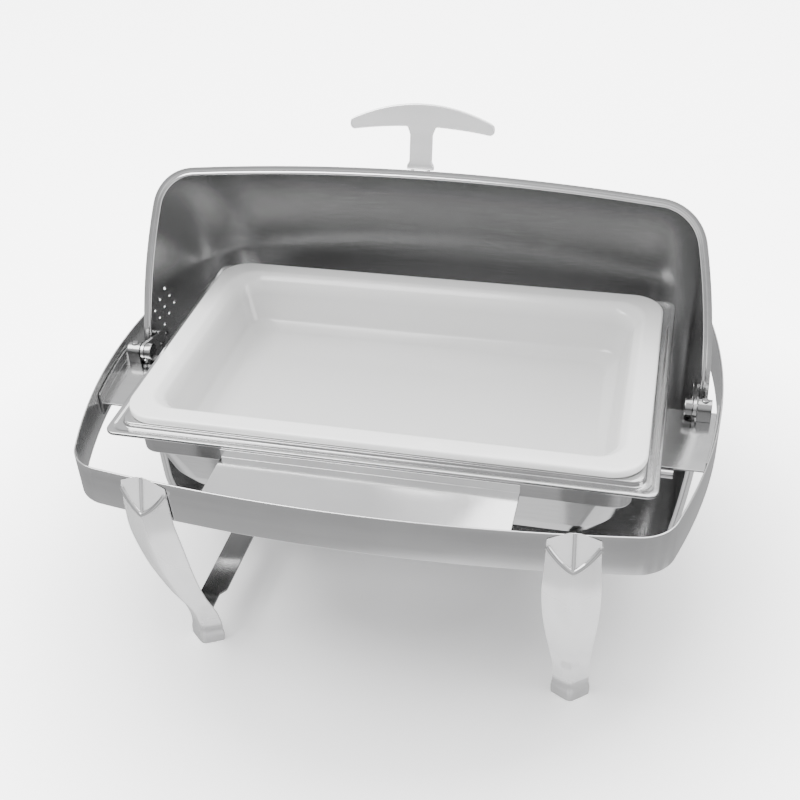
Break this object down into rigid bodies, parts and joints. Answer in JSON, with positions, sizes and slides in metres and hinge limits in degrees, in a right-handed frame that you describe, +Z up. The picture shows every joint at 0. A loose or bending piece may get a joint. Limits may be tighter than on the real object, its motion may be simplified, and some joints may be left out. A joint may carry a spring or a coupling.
{
  "type": "roll top chafer",
  "caption": "Rectangular buffet chafer: bowed polished ring on four legs, roll-back dome lid with handle, water pan and porcelain food pan.",
  "frame": {"origin": "on the floor, under the centre of the frame ring", "axes": "+Z up, -Y towards the front where the handle comes down, +X to the right"},
  "size_m": [0.6674, 0.5174, 0.5438],
  "materials": {
    "polished_steel": "mirror-polished stainless steel",
    "brushed_steel": "brushed stainless steel",
    "satin_steel": "satin stainless steel",
    "porcelain": "white glaze"
  },
  "bodies": {
    "frame": {"frame_band": "polished_steel", "leg_front_left": "polished_steel", "clamp_plate_front_left": "polished_steel", "leg_bolt_front_left": "satin_steel", "leg_front_right": "polished_steel", "clamp_plate_front_right": "polished_steel", "leg_bolt_front_right": "satin_steel", "leg_back_left": "polished_steel", "clamp_plate_back_left": "polished_steel", "leg_bolt_back_left": "satin_steel", "leg_back_right": "polished_steel", "clamp_plate_back_right": "polished_steel", "leg_bolt_back_right": "satin_steel", "stretcher_left": "polished_steel", "bracket_left": "satin_steel", "bracket_roll_left": "satin_steel", "pan_rail_left": "satin_steel", "hinge_block_left": "polished_steel", "set_screw_left": "satin_steel", "hinge_pin_left": "polished_steel", "stretcher_right": "polished_steel", "bracket_right": "satin_steel", "bracket_roll_right": "satin_steel", "pan_rail_right": "satin_steel", "hinge_block_right": "polished_steel", "set_screw_right": "satin_steel", "hinge_pin_right": "polished_steel", "bracket_front": "polished_steel"},
    "lid": {"lid_shell": "brushed_steel", "lid_rim_hem": "brushed_steel", "handle": "polished_steel", "lid_arm_left": "brushed_steel", "handle_screw_left": "satin_steel", "lid_rivet_left_lower": "satin_steel", "lid_rivet_left_upper": "satin_steel", "lid_arm_right": "brushed_steel", "handle_screw_right": "satin_steel", "lid_rivet_right_lower": "satin_steel", "lid_rivet_right_upper": "satin_steel"},
    "water_pan": {"water_pan": "satin_steel"},
    "food_pan": {"food_pan": "porcelain"}
  },
  "joints": [
    {"name": "lid_roll", "type": "hinge", "parent": "frame", "child": "lid", "pos_m": [0, -0.021, 0.2815], "axis": [1, 0, 0], "range_deg": [0, 107]},
    {"name": "water_pan_lift", "type": "slide", "parent": "frame", "child": "water_pan", "axis": [0, 0, 1], "range_m": [0, 0.03]},
    {"name": "food_pan_lift", "type": "slide", "parent": "water_pan", "child": "food_pan", "axis": [0, 0, 1], "range_m": [0, 0.06]}
  ]
}
